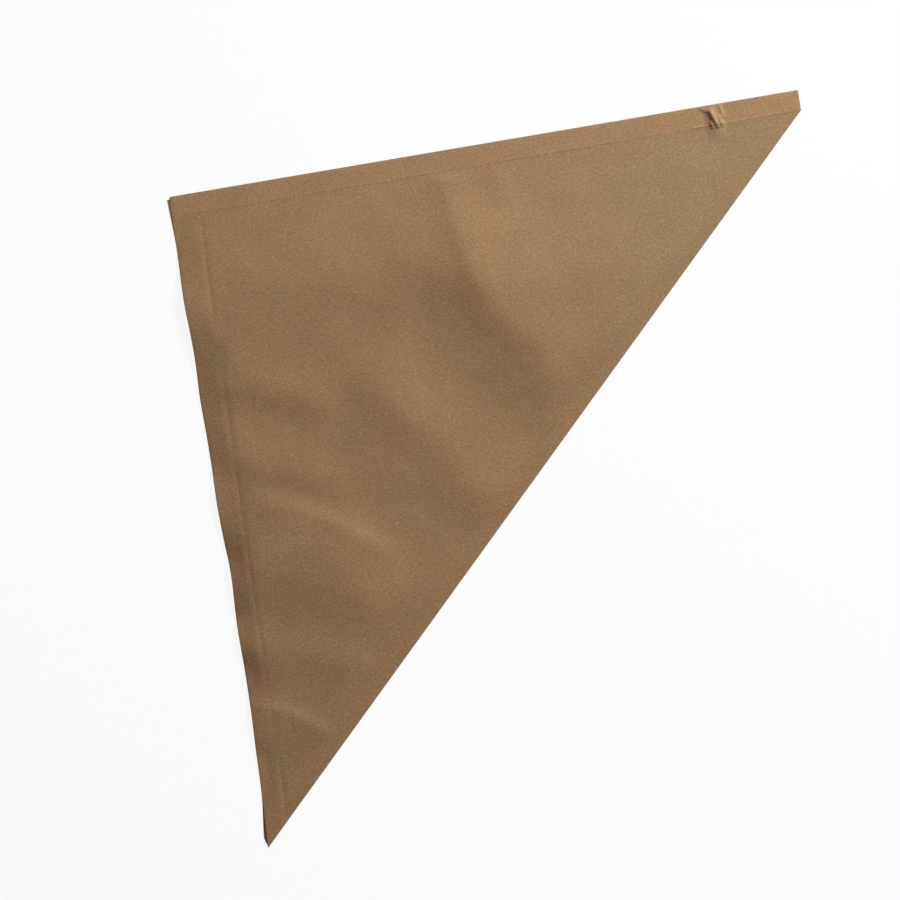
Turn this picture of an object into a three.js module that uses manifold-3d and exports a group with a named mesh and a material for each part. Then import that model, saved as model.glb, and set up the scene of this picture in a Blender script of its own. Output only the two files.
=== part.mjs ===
// A paper cone bag, empty and lying flat: one sheet of kraft paper, folded once and glued along one edge.
//
// Millimetres, +Z up. The back ply lies on z = 0 and the front ply lies over it. Seen from above, the bag is
// a right-angled triangle. +X runs along the glued seam from the mouth to the cut tip, and +Y runs across the
// bag towards the seam. The mouth is the open edge at low X, and the fold is the long slanting edge between the
// mouth's pointed corner and the tip. The origin is under the middle of the bag's bounding box.
//
// The sheet is worked out as rows that run from the seam edge of the front ply, over the front ply, round the
// fold, and back under it to the seam edge of the back ply. Rows follow each other from the mouth to the tip.
// Places on the front ply are shares of the seam's and the mouth's length, and heights and widths are millimetres.

import * as THREE from "three";
import { mergeVertices } from "three/addons/utils/BufferGeometryUtils.js";
import Module from "manifold-3d";

// Outline of the flat bag
const MOUTH_LENGTH = 230;
const SEAM_LENGTH = 222.8;
const MOUTH_ANGLE = 91; // degrees, between the mouth and the seam
const TIP_CUT = 7; // the short edge that blunts the narrow end
const MOUTH_BOW = 1.5; // how far the mouth edge curves inwards between its corners
const BACK_LIP = 0.2; // how far the back ply stands out past the front one along the mouth
const LIP_AT_SEAM = 0.7; // how much more it stands out at the seam
const LIP_AT_CORNER = 0.9; // the same, at the pointed corner
const LIP_REACH = 20; // distance from both ends of the mouth in which that dies out
const LIP_RUN = 2.5; // distance from the fold in which the lip grows to its full width
const BACK_INSET = 0.9; // how far the back ply's seam edge stays short of the front one's

// Paper and glue
const PAPER = 0.1;
const GLUE_WIDTH = 7.1;
const GLUE_FILM = 0.04;
const GLUE_INSET = 1.3; // from the front ply's cut edges to the glue
const GLUE_BITE = 0.02; // how deep the glue soaks into each ply
const FOLD_MARGIN = 1.5; // least ungummed paper between the glue and the fold, at the tip

// Rounding and spring of the fold
const FOLD_SPRING = 0.2; // height that the fold adds to the plies' spacing
const FOLD_SPRING_RUN = 40; // distance from the tip in which it grows to that

// Crease beside the mouth, and the cockled margin outside it
const CREASE_TOP = 9.6; // from the mouth to the crease, at the seam
const CREASE_LOW = 7.9; // the same, at the fold
const CREASE_DEPTH = 0.16;
const CREASE_WIDTH = 1.3;
const MARGIN_DROP = 1; // fall of the front ply from the crease to the mouth edge
const MARGIN_LIFT_HEIGHT = 0.95;
const MARGIN_LIFTS = [
  // place along the mouth as a share of it, and half the width of each lift
  { place: 0.174, width: 22 },
  { place: 0.465, width: 17 },
  { place: 0.596, width: 12 },
  { place: 0.685, width: 10 },
  { place: 0.806, width: 14 },
];

// Loose front ply between the seam and the fold
const BELLY_HEIGHT = 2.6;
const SEAM_REACH = 45; // distance from the glue in which the ply rises to 63% of its height
const FOLD_REACH = 30; // the same, from the fold
const BELLY_AT_MOUTH = 0.5; // share of the belly that is left at the mouth
const BELLY_BACK_RUN = 60; // distance from the mouth in which the belly grows to its whole height
const RIDGE_FADE = 9; // distance from the fold in which a ridge grows to its height

// Ridges of the handled paper. Each has its height and three places that it runs through, as shares of the seam
// and the mouth. Its flank that faces the seam and the tip has the width near, and the other flank has the width
// far. Power is how square the flanks are, taper the share of the length in which each end dies out, and glueGap
// the distance from the glue in which the ridge grows to its height.
const RIDGES = [
  ridge(0.7, [[0.43, 0], [0.436, 0.1], [0.465, 0.26]], { near: 10, far: 5, power: 1.8, taper: 0.25, glueGap: 4 }),
  ridge(1.4, [[0.43, 0.08], [0.46, 0.22], [0.61, 0.44]], { near: 22, far: 14, power: 1.8, taper: 0.3, glueGap: 16 }),
  ridge(2.1, [[-0.09, 0.24], [0.33, 0.125], [0.606, 0.451]], { near: 80, far: 21, taper: 0.12, glueGap: 45 }),
  ridge(0.4, [[0.51, 0.027], [0.515, 0.066], [0.512, 0.108]], { near: 5, far: 4, taper: 0.3, glueGap: 7 }),
  ridge(1.25, [[0.249, 0.269], [0.333, 0.422], [0.456, 0.58]], { near: 14, far: 13, power: 1.8 }),
  ridge(0.7, [[-0.01, 0.286], [0.11, 0.318], [0.231, 0.369]], { near: 8, far: 6, taper: 0.3 }),
  ridge(0.8, [[-0.02, 0.395], [0.095, 0.432], [0.216, 0.502]], { near: 9, far: 6, taper: 0.3 }),
  ridge(0.9, [[0, 0.468], [0.15, 0.519], [0.271, 0.619]], { near: 4.5, far: 12, power: 1.5, taper: 0.3 }),
  ridge(1.7, [[-0.03, 0.555], [0.125, 0.596], [0.26, 0.702]], { near: 15, far: 16, taper: 0.25 }),
  ridge(0.7, [[-0.02, 0.69], [0.085, 0.717], [0.184, 0.774]], { near: 8, far: 9, power: 1.8 }),
  ridge(0.6, [[-0.02, 0.782], [0.055, 0.806], [0.12, 0.864]], { near: 3, far: 9, power: 1.4 }),
];

// Pleat pinched into the glued seam near the tip: a low swell with small straight folds on it
const PLEAT_PLACE = 0.863; // share of the seam
const PLEAT_MIDDLE = 5.2; // distance of its middle from the seam edge
const PLEAT_SWELL = 0.55;
const PLEAT_REACH_X = 4; // half the swell's width along the seam
const PLEAT_REACH_Y = 9; // the same, across the seam
const PLEAT_CLEAR = 1; // ungummed paper on both sides of the swell
const PLEAT_FOLDS = [
  // each fold runs between two places, in millimetres from the pleat's middle
  { start: [-1.7, 4.3], end: [1, -3.4], height: 0.8, left: 0.8, right: 1.1 },
  { start: [2.2, 5.4], end: [3.4, -0.6], height: 0.4, left: 0.7, right: 0.9 },
  { start: [-4.6, 5], end: [-1.6, 2.6], height: 0.25, left: 0.6, right: 0.7 },
];

// Size of the facets
const ROW_STEP = 4.4;
const MARGIN_STEP = 2.4;
const PLEAT_STEP = 0.7;
const BACK_STEP = 30;
const BAND_PARTS = 6;
const BEND_PARTS = 4;

const down = new THREE.Vector2(
  Math.cos(THREE.MathUtils.degToRad(MOUTH_ANGLE)),
  -Math.sin(THREE.MathUtils.degToRad(MOUTH_ANGLE)),
);
const outOfMouth = new THREE.Vector2(down.y, -down.x);
const foldCorner = down.clone().multiplyScalar(MOUTH_LENGTH);
const tipOfFold = new THREE.Vector2(SEAM_LENGTH, -TIP_CUT);
const alongFold = tipOfFold.clone().sub(foldCorner).normalize();
const outOfFold = new THREE.Vector2(alongFold.y, -alongFold.x);
const foldReach = tipOfFold.dot(outOfMouth) * -1;
const facing = new THREE.Vector2(0.75, 0.66); // towards the seam and the tip
const glued = PAPER + GLUE_FILM; // spacing of the plies' middles where they are glued
const backHeight = PAPER / 2;
const pleatX = PLEAT_PLACE * SEAM_LENGTH;

// A smooth hump, 1 high at 0 and gone from 1 on
function hump(x) {
  return Math.abs(x) < 1 ? (1 - x * x) ** 2 : 0;
}

function smooth(x) {
  return THREE.MathUtils.smoothstep(x, 0, 1);
}

// Spacing of the plies' middles at the fold, with the fold sprung open except near the tip
function foldOpening(share) {
  const fromTip = (1 - share) * tipOfFold.distanceTo(foldCorner);
  return glued + FOLD_SPRING * smooth(fromTip / FOLD_SPRING_RUN);
}

// A ridge with its line, a smooth curve through its three places
function ridge(height, through, { near, far, power = 2, taper = 0.2, glueGap = 12 }) {
  const [a, b, c] = through.map(([s, m]) => new THREE.Vector3(s * SEAM_LENGTH, -m * MOUTH_LENGTH, 0));
  const handle = b.clone().multiplyScalar(2).addScaledVector(a.clone().add(c), -0.5);
  const points = new THREE.QuadraticBezierCurve3(a, handle, c).getPoints(10);
  return { points, height, near, far, power, taper, glueGap };
}

// Height of one ridge above the belly, which dies out past the ridge's ends and towards the glue
function ridgeHeight({ points, height, near, far, power, taper, glueGap }, spot, fromGlue) {
  const nearest = new THREE.Vector3();
  let distance = Infinity;
  let side = 0;
  let along = 0;
  for (let i = 1; i < points.length; i++) {
    const piece = new THREE.Line3(points[i - 1], points[i]);
    const t = piece.closestPointToPointParameter(spot, true);
    piece.at(t, nearest);
    const off = spot.clone().sub(nearest);
    if (off.length() < distance) {
      const run = piece.delta(new THREE.Vector3());
      const across = new THREE.Vector2(-run.y, run.x).normalize();
      distance = off.length();
      side = Math.sign(across.dot(facing)) * (off.x * across.x + off.y * across.y);
      along = (i - 1 + t) / (points.length - 1);
    }
  }
  const width = THREE.MathUtils.lerp(far, near, smooth(0.5 + (0.5 * side) / Math.max(distance, 1e-6)));
  const ends = smooth(along / taper) * smooth((1 - along) / taper);
  return height * Math.exp(-((distance / width) ** power)) * ends * smooth(fromGlue / glueGap);
}

// Lift of the margin between the mouth and the crease; out is 1 at the mouth edge and 0 from the crease on
function marginLift(plan, out) {
  const place = plan.dot(down);
  let lift = -MARGIN_DROP * smooth(place / FOLD_REACH) * smooth((MOUTH_LENGTH - place) / FOLD_REACH);
  for (const { place: share, width } of MARGIN_LIFTS) {
    lift += MARGIN_LIFT_HEIGHT * hump((place - share * MOUTH_LENGTH) / width);
  }
  return lift * out;
}

// Height of one small fold of the pleat at a spot, given from the pleat's middle
function pleatFold({ start, end, height, left, right }, spot) {
  const from = new THREE.Vector2(...start);
  const run = new THREE.Vector2(...end).sub(from);
  const off = spot.clone().sub(from);
  const share = off.dot(run) / run.lengthSq();
  const side = run.clone().normalize().cross(off);
  const ends = share > 0 && share < 1 ? 1 - (2 * share - 1) ** 4 : 0;
  return height * Math.exp(-((Math.abs(side) / (side < 0 ? left : right)) ** 1.6)) * ends;
}

// Height of the pleat in the seam
function pleatLift(plan) {
  const spot = new THREE.Vector2(plan.x - pleatX, plan.y + PLEAT_MIDDLE);
  const swell = PLEAT_SWELL * hump(spot.x / PLEAT_REACH_X) * hump(spot.y / PLEAT_REACH_Y);
  return PLEAT_FOLDS.reduce((sum, fold) => sum + pleatFold(fold, spot), swell);
}

// Height that the front ply gains between the glue and the fold
function bellyLift(plan, fromGlue, fromFold) {
  const fromMouth = -plan.dot(outOfMouth);
  const rise = (1 - Math.exp(-fromGlue / SEAM_REACH)) * (1 - Math.exp(-fromFold / FOLD_REACH));
  const grown = BELLY_AT_MOUTH + (1 - BELLY_AT_MOUTH) * smooth(fromMouth / BELLY_BACK_RUN);
  const spot = new THREE.Vector3(plan.x, plan.y, 0);
  const ridges = RIDGES.reduce((sum, one) => sum + ridgeHeight(one, spot, fromGlue), 0);
  const fromCrease = fromMouth - THREE.MathUtils.lerp(CREASE_TOP, CREASE_LOW, plan.dot(down) / MOUTH_LENGTH);
  const crease = CREASE_DEPTH * hump(fromCrease / CREASE_WIDTH);
  return BELLY_HEIGHT * rise * grown + ridges * smooth(fromFold / RIDGE_FADE) - crease;
}

// How far the back ply stands out past the front one, at a distance along the mouth
function lipAt(place) {
  const top = LIP_AT_SEAM * (1 - smooth(place / LIP_REACH));
  const low = LIP_AT_CORNER * smooth((place - MOUTH_LENGTH) / LIP_REACH + 1);
  return BACK_LIP + top + low;
}

// One row of the sheet's middle, from the front ply's seam edge to the back ply's. Each point has a place,
// which counts the row's stretches, so that rows with different numbers of points can be joined.
function sheetRow(fromMouth) {
  const toCrease = Math.min(1, fromMouth / CREASE_TOP);
  const pastCrease = Math.max(0, fromMouth - CREASE_TOP) / (SEAM_LENGTH - CREASE_TOP);
  const share = (CREASE_LOW * toCrease + (foldReach - CREASE_LOW) * pastCrease) / foldReach;
  const out = 1 - toCrease;
  const seam = new THREE.Vector2(fromMouth, 0);
  const fold = foldCorner.clone().lerp(tipOfFold, share);
  const radius = foldOpening(share) / 2;
  const bend = fold.clone().addScaledVector(outOfFold, -(radius + PAPER / 2));
  const length = seam.distanceTo(bend);
  const glueEdge = seam.clone().lerp(bend, Math.min(GLUE_WIDTH, length - FOLD_MARGIN) / length);
  const body = glueEdge.distanceTo(bend);
  const points = [];

  // Bows the mouth inwards, and moves the back ply's edge out past the front one's by a share of the lip
  function shaped(plan, lipShare) {
    const place = plan.dot(down);
    const along = THREE.MathUtils.clamp(place / MOUTH_LENGTH, 0, 1);
    const bow = MOUTH_BOW * Math.sin(Math.PI * along * along);
    return plan.addScaledVector(outOfMouth, out * (lipAt(place) * lipShare - bow));
  }
  function add(place, plan, z) {
    points.push({ place, at: new THREE.Vector3(plan.x, plan.y, z) });
  }

  for (let i = 0; i <= BAND_PARTS; i++) {
    const plan = shaped(seam.clone().lerp(glueEdge, i / BAND_PARTS), 0);
    add(i / BAND_PARTS, plan, backHeight + glued + pleatLift(plan));
  }
  const frontParts = Math.max(2, Math.round(body / ROW_STEP));
  for (let i = 1; i <= frontParts; i++) {
    const s = i / frontParts;
    const plan = shaped(glueEdge.clone().lerp(bend, s), 0);
    const fromGlue = s * body;
    const fromFold = Math.max(0, fold.clone().sub(plan).dot(outOfFold) - radius - PAPER / 2);
    const spacing = THREE.MathUtils.lerp(glued, 2 * radius, s);
    const loose = bellyLift(plan, fromGlue, fromFold) + marginLift(plan, out) * smooth(fromFold / RIDGE_FADE);
    const height = i < frontParts ? Math.max(0, loose + pleatLift(plan)) : 0;
    add(1 + s, plan, backHeight + spacing + height);
  }
  for (let i = 1; i <= BEND_PARTS; i++) {
    const angle = (Math.PI * i) / BEND_PARTS;
    const plan = shaped(bend.clone().addScaledVector(outOfFold, radius * Math.sin(angle)), 0);
    add(2 + i / BEND_PARTS, plan, backHeight + radius * (1 + Math.cos(angle)));
  }
  const backParts = Math.max(1, Math.round(body / BACK_STEP));
  for (let i = 1; i <= backParts; i++) {
    const s = i / backParts;
    add(3 + s, shaped(bend.clone().lerp(glueEdge, s), smooth((s * body) / LIP_RUN)), backHeight);
  }
  const backEdge = seam.clone().lerp(bend, BACK_INSET / length);
  add(5, shaped(backEdge, 1), backHeight);
  return points;
}

// Distances of the rows from the mouth, along the seam
function rowPlaces() {
  const clear = PLEAT_REACH_X + PLEAT_CLEAR;
  const marks = [0, CREASE_TOP, pleatX - clear, pleatX + clear, SEAM_LENGTH];
  const steps = [MARGIN_STEP, ROW_STEP, PLEAT_STEP, ROW_STEP];
  const places = [0];
  steps.forEach((step, i) => {
    const parts = Math.max(1, Math.round((marks[i + 1] - marks[i]) / step));
    for (let k = 1; k <= parts; k++) {
      places.push(THREE.MathUtils.lerp(marks[i], marks[i + 1], k / parts));
    }
  });
  return places;
}

// Triangles between two neighbouring rows, given as lists of points that know their place and vertex number
function joinRows(row, next, triangles) {
  let i = 0;
  let k = 0;
  while (i < row.length - 1 || k < next.length - 1) {
    const stepRow = k === next.length - 1 || (i < row.length - 1 && row[i + 1].place <= next[k + 1].place);
    if (stepRow) {
      triangles.push(row[i].id, row[i + 1].id, next[k].id);
      i++;
    } else {
      triangles.push(row[i].id, next[k + 1].id, next[k].id);
      k++;
    }
  }
}

// The whole sheet as a closed solid: its middle, moved half the paper's thickness to both sides
function foldedSheet() {
  const rows = rowPlaces().map(sheetRow);
  const middle = rows.flat();
  middle.forEach((point, id) => {
    point.id = id;
  });
  const triangles = [];
  for (let i = 1; i < rows.length; i++) {
    joinRows(rows[i - 1], rows[i], triangles);
  }
  const surface = new THREE.BufferGeometry().setFromPoints(middle.map((point) => point.at));
  surface.setIndex(triangles);
  surface.computeVertexNormals();

  const vertices = [];
  const normal = new THREE.Vector3();
  for (const side of [0.5, -0.5]) {
    middle.forEach(({ at }, id) => {
      normal.fromBufferAttribute(surface.getAttribute("normal"), id);
      vertices.push(at.clone().addScaledVector(normal, side * PAPER));
    });
  }
  const faces = [...triangles];
  for (let i = 0; i < triangles.length; i += 3) {
    const [a, b, c] = triangles.slice(i, i + 3).map((id) => id + middle.length);
    faces.push(a, c, b);
  }
  const rim = [
    ...rows[0].map(({ id }) => id),
    ...rows.slice(1).map((row) => row.at(-1).id),
    ...rows.at(-1).map(({ id }) => id).reverse().slice(1),
    ...rows.map((row) => row[0].id).reverse().slice(1, -1),
  ];
  rim.forEach((id, i) => {
    const next = rim[(i + 1) % rim.length];
    faces.push(id, id + middle.length, next, next, id + middle.length, next + middle.length);
  });
  const solid = new THREE.BufferGeometry().setFromPoints(vertices);
  solid.setIndex(faces);
  return solid;
}

// The film of glue between the plies, from one place along the seam to another
function glueFilm(from, to) {
  const depth = GLUE_WIDTH - FOLD_MARGIN - GLUE_INSET;
  const film = new THREE.BoxGeometry(to - from, depth, GLUE_FILM + 2 * GLUE_BITE);
  return film.translate((from + to) / 2, -GLUE_INSET - depth / 2, PAPER + GLUE_FILM / 2);
}

// Turns a closed geometry into a solid that can be joined
function solidOf(wasm, geometry) {
  const bare = new THREE.BufferGeometry();
  bare.setAttribute("position", geometry.getAttribute("position"));
  bare.setIndex(geometry.getIndex());
  const merged = mergeVertices(bare, PAPER / 1000);
  const vertProperties = new Float32Array(merged.getAttribute("position").array);
  const triVerts = new Uint32Array(merged.index.array);
  return new wasm.Manifold(new wasm.Mesh({ numProp: 3, vertProperties, triVerts }));
}

function geometryOf(solid) {
  const mesh = solid.getMesh();
  const geometry = new THREE.BufferGeometry();
  geometry.setAttribute("position", new THREE.BufferAttribute(mesh.vertProperties, mesh.numProp));
  geometry.setIndex(new THREE.BufferAttribute(mesh.triVerts, 1));
  return geometry;
}

const wasm = await Module();
wasm.setup();

const clear = PLEAT_REACH_X + PLEAT_CLEAR;
const films = [
  glueFilm(GLUE_INSET, pleatX - clear),
  glueFilm(pleatX + clear, SEAM_LENGTH - GLUE_INSET),
];
const bagSolid = films.reduce((solid, film) => solid.add(solidOf(wasm, film)), solidOf(wasm, foldedSheet()));
const bagGeometry = geometryOf(bagSolid);
bagGeometry.computeVertexNormals();
bagGeometry.computeBoundingBox();

const kraftPaper = new THREE.MeshStandardMaterial({ color: 0x967656, roughness: 0.85, metalness: 0 });
const bag = new THREE.Mesh(bagGeometry, kraftPaper);
bag.name = "cone_bag";
const middle = bagGeometry.boundingBox.getCenter(new THREE.Vector3());
bag.position.set(-middle.x, -middle.y, -bagGeometry.boundingBox.min.z);

const coneBag = new THREE.Group();
coneBag.add(bag);

export default coneBag;
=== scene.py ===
"""A paper cone bag of kraft paper, lying flat and seen from straight above.

The bag is one sheet, folded once and glued along one edge. Its mesh is made as the real one is: a flat blank
is cut to its outline, folded over, and given the soft ridges, cockles and pleat of handled paper. Sizes are in
millimetres, and are turned into metres where the sheet is folded and where the studio is placed.
"""
import logging
import math
from dataclasses import dataclass, field
from enum import Enum

import bmesh
import bpy
from mathutils import Euler, Matrix, Vector, noise


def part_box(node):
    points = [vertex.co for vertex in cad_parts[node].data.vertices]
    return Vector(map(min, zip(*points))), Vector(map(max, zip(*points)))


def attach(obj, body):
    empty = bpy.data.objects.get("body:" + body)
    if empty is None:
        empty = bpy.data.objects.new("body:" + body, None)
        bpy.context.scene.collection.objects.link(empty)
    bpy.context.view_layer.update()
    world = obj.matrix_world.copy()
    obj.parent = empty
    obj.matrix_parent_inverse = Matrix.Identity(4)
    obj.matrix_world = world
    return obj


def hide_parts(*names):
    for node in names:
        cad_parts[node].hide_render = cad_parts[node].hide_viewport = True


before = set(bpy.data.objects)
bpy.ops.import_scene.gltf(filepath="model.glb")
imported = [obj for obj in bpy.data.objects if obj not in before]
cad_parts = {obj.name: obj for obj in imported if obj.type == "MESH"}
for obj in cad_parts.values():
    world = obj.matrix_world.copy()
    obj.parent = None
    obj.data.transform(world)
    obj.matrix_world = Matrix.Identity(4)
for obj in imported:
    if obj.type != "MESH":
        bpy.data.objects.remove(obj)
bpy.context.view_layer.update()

MM = 0.001
LOG = logging.getLogger("cone_bag")
GLUE_WIDTH = 7.1
Colour = tuple[float, float, float]


class Ply(Enum):
    """The sides of the fold."""

    FRONT = 1
    BACK = -1


class Unevenness(Enum):
    """What is made uneven, each with the seed of its own noise."""

    MOUTH_EDGE = 4.3
    LIP = 9.1
    WAVES = 2.7
    RIPPLES = 5.9
    CREASE = 8.2
    BEAD = 6.6


def smooth(x: float) -> float:
    """Goes from 0 to 1 with soft ends as x does."""
    x = min(1.0, max(0.0, x))
    return x * x * (3 - 2 * x)


def hump(x: float) -> float:
    """A smooth hump, 1 high at 0 and gone from 1 on."""
    return (1 - x * x) ** 2 if abs(x) < 1 else 0.0


def ruffle(x: float, y: float, size: float, of: Unevenness) -> float:
    """Smooth noise from -1 to 1.

    Args:
        x: place along the sheet.
        y: place across the sheet.
        size: rough width of one wave.
        of: what the noise makes uneven.

    Returns:
        The noise at that place.
    """
    return noise.noise(Vector((x / size, y / size, of.value)))


@dataclass(frozen=True)
class Outline:
    """Outline of the flat bag, in plan, with the seam's corner of the mouth at the origin.

    Its X runs along the seam to the tip. The back ply's lip stands out past the mouth edge by back_lip, and by
    more at the seam and at the corner. Its noise is read along the row lip_row.
    """

    mouth: float = 230.0
    seam: float = 222.8
    mouth_angle: float = 91.0
    tip_cut: float = 7.0
    bow: float = 1.5
    edge_wave: float = 0.8
    edge_wave_length: float = 24.0
    back_lip: float = 0.2
    lip_at_seam: float = 0.7
    lip_at_corner: float = 0.9
    lip_reach: float = 20.0
    lip_run: float = 2.5
    lip_row: float = 7.0
    back_inset: float = 0.9
    inset_run: float = 5.0

    @property
    def down(self) -> Vector:
        """Direction along the mouth, from the seam to the pointed corner."""
        angle = math.radians(self.mouth_angle)
        return Vector((math.cos(angle), -math.sin(angle)))

    @property
    def out_of_mouth(self) -> Vector:
        """Direction out of the mouth, in plan."""
        return Vector((self.down.y, -self.down.x))

    @property
    def corner(self) -> Vector:
        """The pointed corner, where the mouth meets the fold."""
        return self.down * self.mouth

    @property
    def tip(self) -> Vector:
        """The end of the fold at the cut tip."""
        return Vector((self.seam, -self.tip_cut))

    @property
    def along_fold(self) -> Vector:
        """Direction along the fold, towards the tip."""
        return (self.tip - self.corner).normalized()

    @property
    def out_of_fold(self) -> Vector:
        """Direction out of the bag across the fold, in plan."""
        return Vector((self.along_fold.y, -self.along_fold.x))

    def mouth_edge(self, place: float) -> float:
        """How far the mouth edge lies out of its straight line.

        Args:
            place: distance along the mouth from the seam.

        Returns:
            The bow and the waves of the edge, outwards.
        """
        share = min(1.0, max(0.0, place / self.mouth))
        wave = self.edge_wave * ruffle(place, 0.0, self.edge_wave_length, Unevenness.MOUTH_EDGE)
        return wave * math.sin(math.pi * share) - self.bow * math.sin(math.pi * share * share)

    def lip(self, place: float) -> float:
        """How far the back ply stands out past the front one, at a distance along the mouth."""
        top = self.lip_at_seam * (1 - smooth(place / self.lip_reach))
        low = self.lip_at_corner * smooth((place - self.mouth) / self.lip_reach + 1)
        uneven = 1 + ruffle(place, self.lip_row, self.edge_wave_length, Unevenness.LIP)
        return self.back_lip * uneven + top + low


@dataclass(frozen=True)
class Ridge:
    """A soft ridge across the front ply, through three places given as shares of the seam and the mouth.

    Its two sides differ: lit is the width of the one that faces the seam and the tip, and dark the other's. A
    higher power makes its top flatter and its sides steeper. It rises over the share taper of its line at each
    end, and over the distance from_glue beside the glue.
    """

    through: tuple[tuple[float, float], ...]
    height: float
    lit: float
    dark: float
    power: float = 2.0
    taper: float = 0.2
    from_glue: float = 12.0

    PIECES = 10
    FACING = Vector((0.75, 0.66))  # towards the seam and the tip
    TINY = 1e-6

    def line(self, outline: Outline) -> list[Vector]:
        """The ridge's line in plan, as a smooth curve through its three places."""
        a, b, c = (Vector((s * outline.seam, -m * outline.mouth)) for s, m in self.through)
        handle = 2 * b - (a + c) / 2
        steps = [i / self.PIECES for i in range(self.PIECES + 1)]
        return [a * (1 - t) ** 2 + handle * 2 * t * (1 - t) + c * t * t for t in steps]

    def at(self, plan: Vector, line: list[Vector], from_glue: float) -> float:
        """Height of the ridge at a place.

        Args:
            plan: the place in plan.
            line: the ridge's own line.
            from_glue: distance of the place from the glue's edge.

        Returns:
            The height, which dies out past both ends and towards the glue.
        """
        nearest, side, along = math.inf, 0.0, 0.0
        for i, (a, b) in enumerate(zip(line, line[1:])):
            piece = b - a
            off = plan - a
            t = min(1.0, max(0.0, off.dot(piece) / piece.length_squared))
            off = off - piece * t
            distance = off.length
            if distance < nearest:
                across = Vector((-piece.y, piece.x)).normalized()
                turn = 1 if across.dot(self.FACING) > 0 else -1
                nearest, side, along = distance, turn * off.dot(across), (i + t) / self.PIECES
        facing = smooth(0.5 + 0.5 * side / max(nearest, self.TINY))
        width = self.dark + (self.lit - self.dark) * facing
        ends = smooth(along / self.taper) * smooth((1 - along) / self.taper)
        profile = math.exp(-((nearest / width) ** self.power))
        return self.height * profile * ends * smooth(from_glue / self.from_glue)


@dataclass(frozen=True)
class SmallFold:
    """One small straight fold at the pleat or the tip, between two places from the pleat's middle.

    Its two sides differ: left and right are their widths.
    """

    start: tuple[float, float]
    end: tuple[float, float]
    height: float
    left: float
    right: float

    POWER = 1.6

    def at(self, spot: Vector) -> float:
        """Height of the fold at a spot, given from the pleat's middle."""
        start, end = Vector(self.start), Vector(self.end)
        run = end - start
        share = (spot - start).dot(run) / run.length_squared
        side = run.normalized().cross(spot - start)
        width = self.left if side < 0 else self.right
        ends = 1 - (2 * share - 1) ** 4 if 0 < share < 1 else 0.0
        return self.height * math.exp(-((abs(side) / width) ** self.POWER)) * ends


@dataclass(frozen=True)
class MarginLift:
    """A place where the margin outside the crease curls up, given as a share of the mouth."""

    place: float
    width: float


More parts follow.
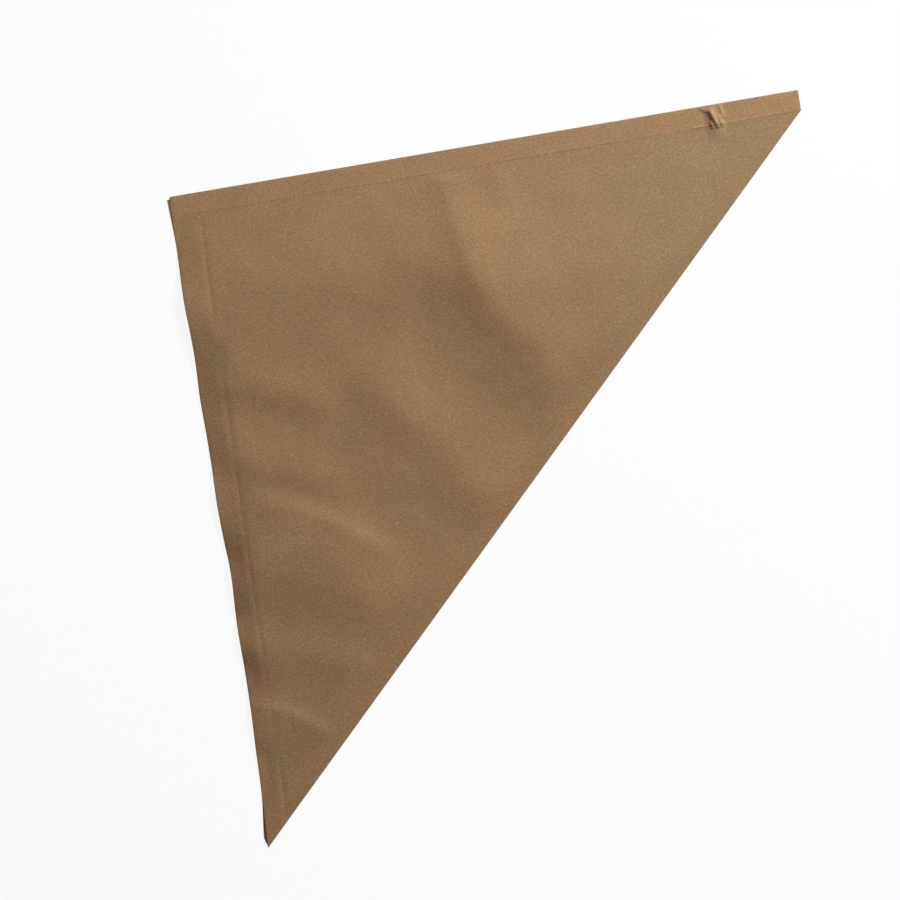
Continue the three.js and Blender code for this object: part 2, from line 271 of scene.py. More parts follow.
@dataclass
class Relief:
    """Heights of the front ply above the back one.

    Lengths are in millimetres. The places of the lifts and of the pleat are shares of the mouth and the seam.
    """

    outline: Outline
    glue_width: float = GLUE_WIDTH
    glued: float = 0.14
    fold_spring: float = 0.2
    fold_spring_run: float = 40.0
    crease_top: float = 9.6
    crease_low: float = 7.9
    bead_height: float = 0.065
    bead_width: float = 0.35
    bead_start: float = 3.0
    bead_run: float = 8.0
    crease_depth: float = 0.16
    crease_width: float = 1.3
    margin_drop: float = 1.0
    lift_height: float = 0.95
    lifts: tuple[MarginLift, ...] = (
        MarginLift(0.174, 22),
        MarginLift(0.465, 17),
        MarginLift(0.596, 12),
        MarginLift(0.685, 10),
        MarginLift(0.806, 14),
    )
    belly_height: float = 2.6
    seam_reach: float = 45.0
    fold_reach: float = 30.0
    belly_at_mouth: float = 0.5
    belly_back_run: float = 60.0
    ridge_fade: float = 9.0
    ridges: tuple[Ridge, ...] = (
        Ridge(((0.43, 0.0), (0.436, 0.1), (0.465, 0.26)), 0.7, 10, 5, 1.8, 0.25, 4),
        Ridge(((0.41, 0.0), (0.455, 0.2), (0.61, 0.44)), 1.4, 22, 14, 1.8, 0.4, 26),
        Ridge(((-0.09, 0.24), (0.33, 0.125), (0.606, 0.451)), 2.1, 80, 21, 2.0, 0.12, 45),
        Ridge(((0.51, 0.027), (0.515, 0.066), (0.512, 0.108)), 0.4, 5, 4, 2.0, 0.3, 7),
        Ridge(((0.249, 0.269), (0.333, 0.422), (0.456, 0.58)), 1.25, 14, 13, 1.8),
        Ridge(((-0.01, 0.286), (0.11, 0.318), (0.231, 0.369)), 0.7, 8, 6, 2.0, 0.3),
        Ridge(((-0.02, 0.395), (0.095, 0.432), (0.216, 0.502)), 0.8, 9, 6, 2.0, 0.3),
        Ridge(((0.0, 0.468), (0.15, 0.519), (0.271, 0.619)), 0.9, 4.5, 12, 1.5, 0.3),
        Ridge(((-0.03, 0.555), (0.125, 0.596), (0.26, 0.702)), 1.7, 15, 16, 2.0, 0.25),
        Ridge(((-0.02, 0.69), (0.085, 0.717), (0.184, 0.774)), 0.7, 8, 9, 1.8),
        Ridge(((-0.02, 0.782), (0.055, 0.806), (0.12, 0.864)), 0.6, 3, 9, 1.4),
    )
    pleat_place: float = 0.863
    pleat_middle: float = 5.2
    pleat_swell: float = 0.55
    pleat_reach: tuple[float, float] = (4.0, 9.0)
    pleat_fade: float = 1.0
    pleat_folds: tuple[SmallFold, ...] = (
        SmallFold((-1.7, 4.3), (1.0, -3.4), 0.8, 0.8, 1.1),
        SmallFold((2.2, 5.4), (3.4, -0.6), 0.4, 0.7, 0.9),
        SmallFold((1.5, 1.2), (2.6, -3.2), 0.5, 0.5, 0.7),
        SmallFold((-1.6, -0.4), (-0.9, -3.4), 0.35, 0.5, 0.6),
        SmallFold((-4.6, 5.0), (-1.6, 2.6), 0.25, 0.6, 0.7),
        SmallFold((-9.5, -1.9), (-2.6, -2.1), 0.16, 0.5, 0.6),
        SmallFold((3.2, -2.2), (12.0, -2.4), 0.12, 0.5, 0.6),
    )
    tip_wrinkles: tuple[SmallFold, ...] = (
        SmallFold((23.0, -2.4), (29.5, 1.8), 0.2, 0.9, 1.1),
        SmallFold((20.0, 1.2), (27.0, 4.0), 0.14, 0.8, 0.9),
    )
    wave_height: float = 0.24
    wave_length: float = 14.0
    ripple_height: float = 0.05
    ripple_length: float = 4.5
    lines: list[list[Vector]] = field(init=False)

    def __post_init__(self) -> None:
        """Works out the ridges' lines once."""
        self.lines = [ridge.line(self.outline) for ridge in self.ridges]

    @property
    def pleat_centre(self) -> Vector:
        """Middle of the pleat, in plan."""
        return Vector((self.pleat_place * self.outline.seam, -self.pleat_middle))

    def opening(self, from_tip: float) -> float:
        """Spacing of the plies' middles at the fold, at a distance from the tip."""
        return self.glued + self.fold_spring * smooth(from_tip / self.fold_spring_run)

    def ridge_height(self, plan: Vector, from_glue: float) -> float:
        """Height of all the ridges at a place in plan."""
        return sum(ridge.at(plan, line, from_glue) for ridge, line in zip(self.ridges, self.lines))

    def outside_crease(self, plan: Vector) -> float:
        """Share of the way from the crease out to the mouth edge: 1 at the edge, 0 from the crease on."""
        from_mouth = -plan.dot(self.outline.out_of_mouth)
        return min(1.0, max(0.0, 1 - from_mouth / self.crease_inset(plan)))

    def crease_inset(self, plan: Vector) -> float:
        """Distance of the crease from the mouth, beside a place in plan."""
        share = plan.dot(self.outline.down) / self.outline.mouth
        return self.crease_top + (self.crease_low - self.crease_top) * share

    def margin(self, plan: Vector) -> float:
        """Fall of the margin from the crease to the mouth edge, with its lifts."""
        place = plan.dot(self.outline.down)
        ends = smooth(place / self.fold_reach) * smooth((self.outline.mouth - place) / self.fold_reach)
        height = -self.margin_drop * ends
        for lift in self.lifts:
            height += self.lift_height * hump((place - lift.place * self.outline.mouth) / lift.width)
        return height * self.outside_crease(plan)

    def pleat(self, plan: Vector) -> float:
        """Height of the pleat pinched into the seam, a swell with small folds, and of the tip's wrinkles."""
        spot = plan - self.pleat_centre
        along, across = self.pleat_reach
        swell = self.pleat_swell * hump(spot.x / along) * hump(spot.y / across)
        return swell + sum(fold.at(spot) for fold in (*self.pleat_folds, *self.tip_wrinkles))

    def waves(self, plan: Vector) -> float:
        """Slight waviness of loose paper, in long waves and short ripples."""
        long = self.wave_height * ruffle(*plan, self.wave_length, Unevenness.WAVES)
        return long + self.ripple_height * ruffle(*plan, self.ripple_length, Unevenness.RIPPLES)

    def belly(self, plan: Vector, from_glue: float, from_fold: float) -> float:
        """Height that the loose ply gains between the glue and the fold.

        Args:
            plan: place in plan.
            from_glue: distance from the glue's edge.
            from_fold: distance from the fold.

        Returns:
            The height above the straight line from the glue to the fold.
        """
        from_mouth = -plan.dot(self.outline.out_of_mouth)
        rise = (1 - math.exp(-from_glue / self.seam_reach)) * (1 - math.exp(-from_fold / self.fold_reach))
        grown = self.belly_at_mouth + (1 - self.belly_at_mouth) * smooth(from_mouth / self.belly_back_run)
        fade = smooth(from_fold / self.ridge_fade)
        crease = self.crease_depth * hump((from_mouth - self.crease_inset(plan)) / self.crease_width)
        crease *= 1 + ruffle(*plan, self.wave_length, Unevenness.CREASE)
        waves = self.waves(plan) * smooth(from_glue / self.ridge_fade)
        loose = self.ridge_height(plan, from_glue) + waves
        return self.belly_height * rise * grown + loose * fade - crease

    def front(self, plan: Vector, from_fold: float, opening: float) -> float:
        """Spacing of the front ply's middle from the back one's.

        Args:
            plan: place in plan.
            from_fold: distance from the fold.
            opening: spacing at the fold beside that place.

        Returns:
            The spacing, never less than that of the straight line from the glue to the fold.
        """
        from_glue = -plan.y - self.glue_width
        bead = self.bead_height * hump(from_glue / self.bead_width)
        bead *= smooth((plan.x - self.bead_start) / self.bead_run)
        bead *= 1 + ruffle(plan.x, 0.0, self.wave_length, Unevenness.BEAD)
        if from_glue <= 0:
            return self.glued + self.pleat(plan) + bead
        share = from_glue / (from_glue + from_fold) if from_fold > 0 else 1.0
        fade = smooth(from_fold / self.pleat_fade)
        loose = self.belly(plan, from_glue, from_fold) + self.pleat(plan) * fade
        loose += self.margin(plan) * smooth(from_fold / self.ridge_fade)
        return self.glued + (opening - self.glued) * share + max(0.0, loose) + bead * fade


@dataclass(frozen=True)
class Pattern:
    """A noise pattern with marks of about that size.

    A squeeze under 1 makes the marks long. Only then do the turn, in radians, and the shift apply.
    """

    size: float
    detail: float = 2.0
    roughness: float = 0.5
    squeeze: float = 1.0
    turn: float = 0.0
    shift: float = 0.0


@dataclass(frozen=True)
class Tint:
    """A colour that comes in as a value goes from low to high, up to its share."""

    colour: Colour
    low: float
    high: float
    share: float


@dataclass(frozen=True)
class Layer:
    """A pattern and the tints that it lays over the paper."""

    pattern: Pattern
    tints: tuple[Tint, ...]


@dataclass(frozen=True)
class KraftFinish:
    """Unbleached kraft paper, with its clouding, fibres and grain. Lengths are in millimetres."""

    tone: Colour = (0.304, 0.170, 0.080)
    shade: Colour = (0.284, 0.155, 0.071)
    olive: Colour = (0.258, 0.174, 0.090)
    olive_dark: Colour = (0.240, 0.165, 0.080)
    red: Colour = (0.318, 0.168, 0.086)
    band: Colour = (0.335, 0.188, 0.092)
    fibre_dark: Colour = (0.175, 0.096, 0.048)
    fibre_light: Colour = (0.470, 0.320, 0.190)
    # painted shade: the cut edge's colour, darker than the paper, so that its lit rim reads as a dark outline
    cut: Colour = (0.200, 0.120, 0.065)
    roughness: float = 0.82
    cloud: Pattern = Pattern(22.0, detail=3.0)
    cloud_range: tuple[float, float] = (0.36, 0.66)
    mottle: Pattern = Pattern(2.6, detail=4.0, roughness=0.6)
    blush: Pattern = Pattern(5.5, detail=3.0, roughness=0.6, squeeze=0.8, turn=0.4, shift=40.0)
    blotch: Pattern = Pattern(15.0, roughness=0.6)
    speck: Pattern = Pattern(0.75, roughness=0.7)
    streak: Pattern = Pattern(0.7, detail=3.0, roughness=0.6, squeeze=0.5)
    clouding: tuple[Layer, ...] = (
        Layer(mottle, (Tint(olive, 0.46, 0.66, 0.5),)),
        Layer(blush, (Tint(red, 0.48, 0.64, 0.35), Tint(olive, 0.48, 0.34, 0.2))),
    )
    towards_tip: Tint = Tint(olive, 110.0, 175.0, 0.8)
    band_share: float = 0.75
    band_blur: float = 0.2
    fibres: tuple[Layer, ...] = (
        Layer(blotch, (Tint(olive_dark, 0.50, 0.72, 0.45),)),
        Layer(speck, (Tint(fibre_light, 0.50, 0.72, 0.32), Tint(fibre_dark, 0.50, 0.28, 0.42))),
        Layer(streak, (Tint(fibre_light, 0.52, 0.74, 0.22), Tint(fibre_dark, 0.48, 0.28, 0.24))),
        # Long fibres, which lie in four directions
        Layer(Pattern(0.4, 1.0, 0.5, 0.3, 0.35, 3.0), (Tint(fibre_dark, 0.68, 0.76, 0.55),)),
        Layer(Pattern(0.4, 1.0, 0.5, 0.3, -0.75, 11.0), (Tint(fibre_dark, 0.68, 0.76, 0.45),)),
        Layer(Pattern(0.4, 1.0, 0.5, 0.3, 0.9, 23.0), (Tint(fibre_light, 0.68, 0.76, 0.45),)),
        Layer(Pattern(0.4, 1.0, 0.5, 0.3, -0.3, 31.0), (Tint(fibre_light, 0.68, 0.76, 0.5),)),
    )
    grain: Pattern = Pattern(0.55, detail=3.0, roughness=0.7)
    cockle: Pattern = Pattern(0.7, squeeze=0.22, turn=math.pi / 2)
    fuzz: Pattern = Pattern(0.55, detail=4.0, roughness=0.8)
    fuzz_range: tuple[float, float] = (0.35, 0.65)
    grain_bump: float = 0.6
    streak_bump: float = 0.5
    mottle_bump: float = 0.7
    cockle_bump: float = 1.5
    bump_depth: float = 0.035

    def sheet(self) -> bpy.types.Material:
        """The face of the paper."""
        nodes = Nodes("kraft_paper")
        place = nodes.sheet_place()
        cloud = nodes.ramp(nodes.pattern(place, self.cloud), *self.cloud_range)
        colour = nodes.layered(nodes.mix(cloud, self.shade, self.tone), place, self.clouding)
        colour = nodes.tinted(colour, nodes.part(place, "X"), self.towards_tip)
        across = nodes.part(place, "Y")
        band = nodes.ramp(across, -GLUE_WIDTH - self.band_blur, -GLUE_WIDTH + self.band_blur)
        colour = nodes.mix(nodes.scaled(band, self.band_share), colour, self.band)
        colour = nodes.layered(colour, place, self.fibres)
        nodes.finish(colour, self.roughness, self.height(nodes, place, band), self.bump_depth * MM)
        return nodes.material

    def height(
        self, nodes: "Nodes", place: bpy.types.NodeSocket, band: bpy.types.NodeSocket
    ) -> bpy.types.NodeSocket:
        """Bump pattern of the paper: grain and fibres all over, and cockles on the glued band.

        Args:
            nodes: the material's nodes.
            place: place on the blank.
            band: 1 on the glued band and 0 beside it.

        Returns:
            The pattern, in shares of the bump's depth.
        """
        grain = nodes.scaled(nodes.pattern(place, self.grain), self.grain_bump)
        streak = nodes.scaled(nodes.pattern(place, self.streak), self.streak_bump)
        mottle = nodes.scaled(nodes.pattern(place, self.mottle), self.mottle_bump)
        cockle = nodes.scaled(nodes.pattern(place, self.cockle), self.cockle_bump)
        height = nodes.add(nodes.add(grain, streak), mottle)
        return nodes.add(height, nodes.maths("MULTIPLY", cockle, band))

    def painted_dark_cut_edge(self) -> bpy.types.Material:
        """The paper's cut edge, coloured darker than the paper as painted shade along the outline, with loose
        fibres.
        """
        nodes = Nodes("kraft_cut_edge")
        fuzz = nodes.pattern(nodes.sheet_place(), self.fuzz)
        colour = nodes.mix(nodes.ramp(fuzz, *self.fuzz_range), self.cut, self.fibre_dark)
        nodes.finish(colour, self.roughness, fuzz, self.bump_depth * MM)
        return nodes.material


class Nodes:
    """Builds one procedural material."""

    MIX_SHARE = 0
    MIX_FIRST = 6
    MIX_SECOND = 7
    MIX_COLOUR = 2
    SPECULAR = 0.25

    def __init__(self, name: str) -> None:
        """Starts an empty material of that name."""
        self.material = bpy.data.materials.new(name)
        self.material.use_nodes = True
        self.tree = self.material.node_tree
        self.shader = self.tree.nodes["Principled BSDF"]

    def node(self, kind: str) -> bpy.types.Node:
        """Adds a node of that kind."""
        return self.tree.nodes.new(kind)

    def link(self, value: object, socket: bpy.types.NodeSocket) -> None:
        """Puts a number, a colour or another socket into a socket."""
        if isinstance(value, bpy.types.NodeSocket):
            self.tree.links.new(value, socket)
        elif isinstance(value, tuple):
            socket.default_value = (*value, 1.0)
        else:
            socket.default_value = value

    def sheet_place(self) -> bpy.types.NodeSocket:
        """Place on the flat blank, in millimetres, from the piece's own UV map."""
        coordinates = self.node("ShaderNodeUVMap")
        coordinates.uv_map = FoldedSheet.UV_NAME
        scale = self.node("ShaderNodeMapping")
        scale.inputs["Scale"].default_value = (FoldedSheet.UV_UNIT, FoldedSheet.UV_UNIT, 1.0)
        self.link(coordinates.outputs["UV"], scale.inputs["Vector"])
        return scale.outputs["Vector"]

    def part(self, place: bpy.types.NodeSocket, axis: str) -> bpy.types.NodeSocket:
        """One measure of a place on the blank.

        Args:
            place: place on the blank.
            axis: X for the distance from the mouth, or Y for that from the seam edge, which is
                negative on the front ply.

        Returns:
            The measure, in millimetres.
        """
        parts = self.node("ShaderNodeSeparateXYZ")
        self.link(place, parts.inputs[0])
        return parts.outputs[axis]

    def stretched(self, place: bpy.types.NodeSocket, pattern: Pattern) -> bpy.types.NodeSocket:
        """Shifts and turns the place, and stretches what is drawn there along X."""
        turned = self.node("ShaderNodeMapping")
        turned.inputs["Rotation"].default_value = (0.0, 0.0, pattern.turn)
        turned.inputs["Location"].default_value = (pattern.shift, pattern.shift, pattern.shift)
        self.link(place, turned.inputs["Vector"])
        squeezed = self.node("ShaderNodeMapping")
        squeezed.inputs["Scale"].default_value = (pattern.squeeze, 1.0, 1.0)
        self.link(turned.outputs["Vector"], squeezed.inputs["Vector"])
        return squeezed.outputs["Vector"]

    def pattern(self, place: bpy.types.NodeSocket, pattern: Pattern) -> bpy.types.NodeSocket:
        """The value of a noise pattern at a place on the blank."""
        if pattern.squeeze != 1.0:
            place = self.stretched(place, pattern)
        texture = self.node("ShaderNodeTexNoise")
        texture.inputs["Scale"].default_value = 1 / pattern.size
        texture.inputs["Detail"].default_value = pattern.detail
        texture.inputs["Roughness"].default_value = pattern.roughness
        self.link(place, texture.inputs["Vector"])
        return texture.outputs["Fac"]

    def tinted(self, colour: object, value: bpy.types.NodeSocket, tint: Tint) -> bpy.types.NodeSocket:
        """Lays a tint over a colour where a value asks for it.

        Args:
            colour: the colour below.
            value: what the tint's low and high are measured on.
            tint: the tint.

        Returns:
            The new colour.
        """
        share = self.scaled(self.ramp(value, tint.low, tint.high), tint.share)
        return self.mix(share, colour, tint.colour)

    def layered(
        self, colour: object, place: bpy.types.NodeSocket, layers: tuple[Layer, ...]
    ) -> bpy.types.NodeSocket:
        """Lays layers over a colour, the first one lowest.

        Args:
            colour: the colour below.
            place: place on the blank.
            layers: the layers.

        Returns:
            The new colour.
        """
        for layer in layers:
            value = self.pattern(place, layer.pattern)
            for tint in layer.tints:
                colour = self.tinted(colour, value, tint)
        return colour

    def ramp(self, value: bpy.types.NodeSocket, low: float, high: float) -> bpy.types.NodeSocket:
        """Maps low to 0 and high to 1, clamped. Low may lie above high."""
        steps = self.node("ShaderNodeMapRange")
        self.link(value, steps.inputs["Value"])
        steps.inputs["From Min"].default_value = low
        steps.inputs["From Max"].default_value = high
        return steps.outputs["Result"]

    def scaled(self, value: bpy.types.NodeSocket, share: float) -> bpy.types.NodeSocket:
        """A value times a share."""
        return self.maths("MULTIPLY", value, share)

    def add(self, a: bpy.types.NodeSocket, b: bpy.types.NodeSocket) -> bpy.types.NodeSocket:
        """The sum of two values."""
        return self.maths("ADD", a, b)

    def maths(self, operation: str, a: object, b: object) -> bpy.types.NodeSocket:
        """A Math node of that operation."""
        maths = self.node("ShaderNodeMath")
        maths.operation = operation
        self.link(a, maths.inputs[0])
        self.link(b, maths.inputs[1])
        return maths.outputs[0]

    def mix(self, share: object, a: object, b: object) -> bpy.types.NodeSocket:
        """Goes from colour a to colour b as share does from 0 to 1."""
        mix = self.node("ShaderNodeMix")
        mix.data_type = "RGBA"
        self.link(share, mix.inputs[self.MIX_SHARE])
        self.link(a, mix.inputs[self.MIX_FIRST])
        self.link(b, mix.inputs[self.MIX_SECOND])
        return mix.outputs[self.MIX_COLOUR]

    def blend(self, share: object, a: object, b: object) -> bpy.types.NodeSocket:
        """Goes from shader a to shader b as share does from 0 to 1."""
        blend = self.node("ShaderNodeMixShader")
        for value, socket in zip((share, a, b), blend.inputs):
            self.link(value, socket)
        return blend.outputs[0]

    def finish(
        self, colour: object, roughness: float, height: bpy.types.NodeSocket, depth: float
    ) -> None:
        """Puts colour, roughness and bump on the shader.

        Args:
            colour: a colour or its socket.
            roughness: the same all over the surface.
            height: bump pattern, in shares of the depth.
            depth: the bump's depth in metres.
        """
        bump = self.node("ShaderNodeBump")
        bump.inputs["Strength"].default_value = 1.0
        bump.inputs["Distance"].default_value = depth
        self.link(height, bump.inputs["Height"])
        self.link(colour, self.shader.inputs["Base Color"])
        self.link(bump.outputs["Normal"], self.shader.inputs["Normal"])
        self.shader.inputs["Roughness"].default_value = roughness
        self.shader.inputs["Specular IOR Level"].default_value = self.SPECULAR


@dataclass
class FoldedSheet:
    """The bag's one sheet: cut as a flat blank, folded, and given its relief. Lengths are in millimetres."""

    UV_NAME = "blank"
    UV_UNIT = 100.0  # millimetres in one unit of the UV map
    ON_LINE = 1e-4  # how near a cut a point counts as on it
    SAME_PLACE = 1e-3  # how near each other two points on the fold line are joined
    SLIVER = 0.01  # length under which an edge is taken out
    HALVINGS = 2

    outline: Outline
    relief: Relief
    finish: KraftFinish
    paper: float = 0.1
    cell: float = 1.2
    bend_lines: tuple[float, ...] = (0.09, 0.18, 0.27, 0.6)
    fine_reach: float = 1.7
    flat_area: float = 0.0
    flat_size: tuple[float, float] = (0.0, 0.0)

    def blank(self) -> bmesh.types.BMesh:
        """Cuts the front half of the blank from a sheared grid, and mirrors it over the fold line.

        Returns:
            The flat blank in plan, in millimetres, with the front half where it lies when folded.
        """
        mesh = bmesh.new()
        outline = self.outline
        down = outline.down
        across = round(outline.seam / self.cell)
        deep = round(outline.mouth / self.cell)
        half = Vector((outline.seam, 0.0)) / 2 + down * outline.mouth / 2
        shear = Matrix((
            (outline.seam / 2, -down.x * outline.mouth / 2, 0, half.x),
            (0, -down.y * outline.mouth / 2, 0, half.y),
            (0, 0, 1, 0),
            (0, 0, 0, 1),
        ))
        bmesh.ops.create_grid(mesh, x_segments=across, y_segments=deep, size=1.0, matrix=shear)
        self.slice(mesh, outline.tip, outline.out_of_fold, clear=True)
        self.slice(mesh, outline.tip, Vector((1.0, 0.0)), clear=True)
        for line in self.bend_lines:
            self.slice(mesh, outline.tip - outline.out_of_fold * line, outline.out_of_fold)
        for side in (-1, 0, 1):
            point = Vector((0.0, side * self.relief.bead_width - self.relief.glue_width))
            self.slice(mesh, point, Vector((0.0, 1.0)), start=self.relief.bead_start)
        crease = Vector((self.relief.crease_top, 0.0))
        low = outline.corner + Vector((self.relief.crease_low, 0.0))
        self.slice(mesh, crease, Vector((crease.y - low.y, low.x - crease.x)))
        bmesh.ops.dissolve_degenerate(mesh, edges=mesh.edges, dist=self.SLIVER)
        self.refine_pleat(mesh)
        self.mirror(mesh)
        return mesh

    def slice(
        self,
        mesh: bmesh.types.BMesh,
        point: Vector,
        normal: Vector,
        clear: bool = False,
        start: float = -math.inf,
    ) -> None:
        """Cuts the flat mesh along a line.

        Args:
            mesh: the flat mesh.
            point: a point of the line.
            normal: direction across the line.
            clear: clears what lies past the line on the normal's side.
            start: distance along the seam at which the cut starts.
        """
        verts = [vert for vert in mesh.verts if vert.co.x > start]
        edges = [edge for edge in mesh.edges if min(vert.co.x for vert in edge.verts) > start]
        faces = [face for face in mesh.faces if min(vert.co.x for vert in face.verts) > start]
        bmesh.ops.bisect_plane(
            mesh,
            geom=[*verts, *edges, *faces],
            dist=self.ON_LINE,
            plane_co=point.to_3d(),
            plane_no=normal.to_3d().normalized(),
            clear_outer=clear,
        )

    def refine_pleat(self, mesh: bmesh.types.BMesh) -> None:
        """Halves the cells beside the pleat, more than once."""
        for _ in range(self.HALVINGS):
            edges = [edge for edge in mesh.edges if all(self.near_pleat(v.co.xy) for v in edge.verts)]
            bmesh.ops.subdivide_edges(mesh, edges=edges, cuts=1, use_grid_fill=True)

    def near_pleat(self, plan: Vector) -> bool:
        """Whether a place is beside the pleat."""
        spot = plan - self.relief.pleat_centre
        along, across = self.relief.pleat_reach
        return abs(spot.x) < along * self.fine_reach and abs(spot.y) < across

    def mirror(self, mesh: bmesh.types.BMesh) -> None:
        """Adds the back half of the blank, mirrored over the fold line."""
        axes = Matrix((
            (*self.outline.along_fold, 0.0),
            (*self.outline.out_of_fold, 0.0),
            (0.0, 0.0, 1.0),
        )).to_4x4()
        tip = self.outline.tip.to_3d()
        bmesh.ops.transform(mesh, matrix=axes @ Matrix.Translation(-tip), verts=mesh.verts)
        geometry = [*mesh.verts, *mesh.edges, *mesh.faces]
        bmesh.ops.mirror(mesh, geom=geometry, axis="Y", merge_dist=self.SAME_PLACE)
        back = Matrix.Translation(tip) @ axes.inverted()
        bmesh.ops.transform(mesh, matrix=back, verts=mesh.verts)

    def write_uv(self, mesh: bmesh.types.BMesh) -> None:
        """Keeps each corner's place on the flat blank in the UV map."""
        layer = mesh.loops.layers.uv.new(self.UV_NAME)
        for face in mesh.faces:
            for loop in face.loops:
                loop[layer].uv = loop.vert.co.xy / self.UV_UNIT

    def folded(self, flat: Vector) -> Vector:
        """Place of a point of the flat blank once the sheet is folded.

        Args:
            flat: the point in the plane of the blank.

        Returns:
            The point on the middle of the folded sheet, in millimetres, with the back ply's underside on 0.
        """
        outline = self.outline
        from_tip = (outline.tip - flat).dot(outline.along_fold)
        inside = (outline.tip - flat).dot(outline.out_of_fold)
        opening = self.relief.opening(from_tip)
        radius = opening / 2
        quarter = math.pi * radius / 2
        base = outline.tip - outline.along_fold * from_tip
        if abs(inside) < quarter:
            angle = math.pi / 2 * (1 - inside / quarter)
            plan = base - outline.out_of_fold * (radius * (1 - math.sin(angle)) + self.paper / 2)
            plan = self.shaped(plan, Ply.FRONT)
            return Vector((*plan, self.paper / 2 + radius * (1 + math.cos(angle))))
        from_fold = abs(inside) - quarter
        plan = base - outline.out_of_fold * (from_fold + radius + self.paper / 2)
        if inside < 0:
            drop = -plan.y
            plan.y = -drop - outline.back_inset * (1 - smooth(drop / outline.inset_run))
            plan = self.shaped(plan, Ply.BACK, smooth(from_fold / outline.lip_run))
            return Vector((*plan, self.paper / 2))
        height = self.relief.front(plan, from_fold, opening)
        return Vector((*self.shaped(plan, Ply.FRONT), self.paper / 2 + height))

    def shaped(self, plan: Vector, ply: Ply, share: float = 1.0) -> Vector:
        """Gives the mouth edge its bow and waves, and the back ply its lip.

        Args:
            plan: the place in plan.
            ply: the ply that it is on.
            share: share of the lip that the back ply has there.

        Returns:
            The place moved along the seam's direction, most at the mouth and nowhere past the crease.
        """
        place = plan.dot(self.outline.down)
        move = self.outline.mouth_edge(place)
        if ply is Ply.BACK:
            move += self.outline.lip(place) * share
        return plan + self.outline.out_of_mouth * move * self.relief.outside_crease(plan)

    def build(self, corner: Vector) -> bpy.types.Object:
        """Makes the sheet's object.

        Args:
            corner: the seam's corner of the mouth in the row frame, in metres.

        Returns:
            The finished piece, at the origin.
        """
        mesh = self.blank()
        self.flat_area = sum(face.calc_area() for face in mesh.faces)
        along = [vert.co.x for vert in mesh.verts]
        across = [vert.co.y for vert in mesh.verts]
        self.flat_size = (max(along) - min(along), max(across) - min(across))
        self.write_uv(mesh)
        for vert in mesh.verts:
            vert.co = self.folded(vert.co.xy) * MM + corner
        bmesh.ops.recalc_face_normals(mesh, faces=mesh.faces)
        for face in mesh.faces:
            face.smooth = True
        data = bpy.data.meshes.new("folded_sheet")
        mesh.to_mesh(data)
        mesh.free()
        piece = bpy.data.objects.new("folded_sheet", data)
        bpy.context.scene.collection.objects.link(piece)
        data.materials.append(self.finish.sheet())
        data.materials.append(self.finish.painted_dark_cut_edge())
        wall = piece.modifiers.new("paper_thickness", "SOLIDIFY")
        wall.thickness = self.paper * MM
        wall.offset = 0.0
        # the rim takes the cut edge's material, which is painted dark as a painted shade line
        wall.material_offset_rim = 1
        piece.modifiers.new("flat_shading_at_the_cut_edges", "WEIGHTED_NORMAL")
        return piece


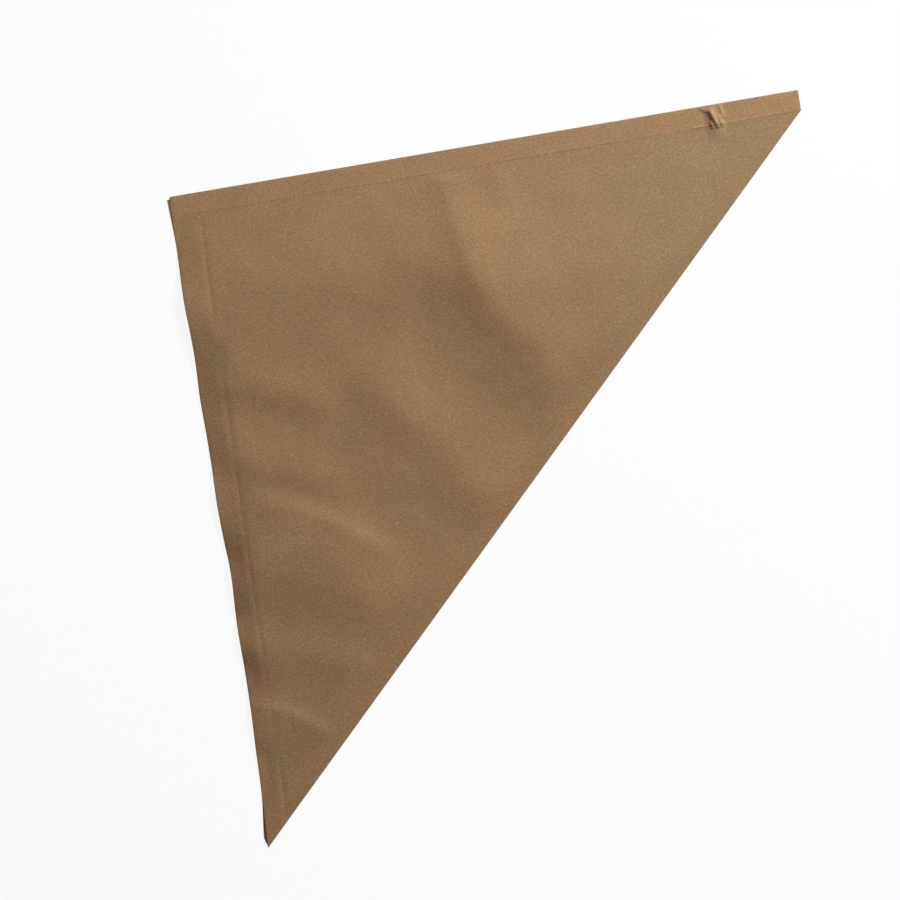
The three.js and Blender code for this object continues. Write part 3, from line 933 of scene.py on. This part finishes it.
@dataclass(frozen=True)
class Studio:
    """Pale floor, one soft lamp, a dim even world and the camera straight above the bag."""

    photo_width: float = 900.0  # pixels
    millimetres_a_pixel: float = 0.34928
    seam_rise: float = 9.65  # degrees by which the seam rises to the right in the view
    view_centre: tuple[float, float] = (81.94, -103.58)  # from the seam's corner of the mouth
    lens: float = 100.0
    sensor: float = 36.0
    floor_drop: float = 0.2
    floor_half: float = 20.0  # metres
    floor_colour: Colour = (0.8, 0.8, 0.8)
    floor_roughness: float = 0.9
    floor_glow: float = 0.9
    key_place: tuple[float, float, float] = (0.71, 0.845, 0.587)  # metres right, up and above in the view
    key_size: float = 0.3  # metres
    key_power: float = 25.0  # watts
    world_colour: Colour = (1.0, 0.94, 0.85)
    world_strength: float = 0.2

    def camera(self, corner: Vector) -> None:
        """Places the camera over the middle of the view.

        Args:
            corner: the seam's corner of the mouth in the row frame, in metres.
        """
        data = bpy.data.cameras.new("camera")
        data.lens = self.lens
        data.sensor_width = self.sensor
        camera = bpy.data.objects.new("camera", data)
        width = self.photo_width * self.millimetres_a_pixel
        height = width * self.lens / self.sensor
        camera.location = corner + Vector((*self.view_centre, height)) * MM
        camera.rotation_euler = (0.0, 0.0, math.radians(-self.seam_rise))
        bpy.context.scene.collection.objects.link(camera)
        bpy.context.scene.camera = camera

    def floor(self) -> None:
        """A plain pale floor, white to the camera, a little below the bag and seen only from above."""
        mesh = bmesh.new()
        lowered = Matrix.Translation((0.0, 0.0, -self.floor_drop * MM))
        bmesh.ops.create_grid(mesh, x_segments=1, y_segments=1, size=self.floor_half, matrix=lowered)
        data = bpy.data.meshes.new("floor")
        mesh.to_mesh(data)
        mesh.free()
        floor = bpy.data.objects.new("floor", data)
        bpy.context.scene.collection.objects.link(floor)
        data.materials.append(self.pale())

    def pale(self) -> bpy.types.Material:
        """The floor's material: white where the camera or a reflection sees it from above, clear from below.

        Scattered light passes it, so that the bag's underside is lit too.
        """
        nodes = Nodes("pale_floor")
        nodes.link(self.floor_colour, nodes.shader.inputs["Base Color"])
        nodes.link(self.floor_roughness, nodes.shader.inputs["Roughness"])
        white = nodes.node("ShaderNodeEmission")
        path = nodes.node("ShaderNodeLightPath")
        seen = path.outputs["Is Camera Ray"]
        for ray in ("Is Glossy Ray", "Is Transmission Ray"):
            seen = nodes.maths("MAXIMUM", seen, path.outputs[ray])
        glow = nodes.scaled(seen, self.floor_glow)
        above = nodes.blend(glow, nodes.shader.outputs[0], white.outputs[0])
        side = nodes.node("ShaderNodeNewGeometry")
        passes = nodes.maths("MAXIMUM", side.outputs["Backfacing"], path.outputs["Is Diffuse Ray"])
        clear = nodes.node("ShaderNodeBsdfTransparent")
        surface = nodes.blend(passes, above, clear.outputs[0])
        nodes.link(surface, nodes.tree.nodes["Material Output"].inputs["Surface"])
        return nodes.material

    def key(self) -> None:
        """A square soft lamp from the upper right of the view, which faces the bag."""
        data = bpy.data.lights.new("key", "AREA")
        data.shape = "SQUARE"
        data.size = self.key_size
        data.energy = self.key_power
        place = Vector(self.key_place)
        place.rotate(Euler((0.0, 0.0, math.radians(-self.seam_rise))))
        lamp = bpy.data.objects.new("key", data)
        lamp.location = place
        lamp.rotation_euler = (-place).to_track_quat("-Z", "Y").to_euler()
        bpy.context.scene.collection.objects.link(lamp)

    def world(self) -> None:
        """A dim even light from all round."""
        world = bpy.data.worlds.new("studio")
        world.use_nodes = True
        background = world.node_tree.nodes["Background"]
        background.inputs["Color"].default_value = (*self.world_colour, 1.0)
        background.inputs["Strength"].default_value = self.world_strength
        bpy.context.scene.world = world


def dress() -> None:
    """Builds the bag and the studio around the frame, and reports each piece."""
    _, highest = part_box("cone_bag")
    outline = Outline()
    corner = Vector((highest[0] - outline.seam * MM, highest[1], 0.0))
    studio = Studio()
    studio.camera(corner)
    studio.floor()
    studio.key()
    studio.world()
    sheet = FoldedSheet(outline, Relief(outline), KraftFinish())
    piece = sheet.build(corner)
    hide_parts("cone_bag")
    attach(piece, "root")
    faces = len(piece.data.polygons)
    LOG.info("%s: %d faces, blank of %.1f x %.1f mm", piece.name, faces, *sheet.flat_size)
    LOG.info("%s: flat area of %.0f square mm", piece.name, sheet.flat_area)


def main() -> None:
    """Dresses the frame."""
    logging.basicConfig(level=logging.INFO, format="%(name)s: %(message)s")
    bpy.context.scene.view_settings.view_transform = "Standard"
    dress()
    bpy.context.view_layer.update()


if __name__ == "__main__":
    main()
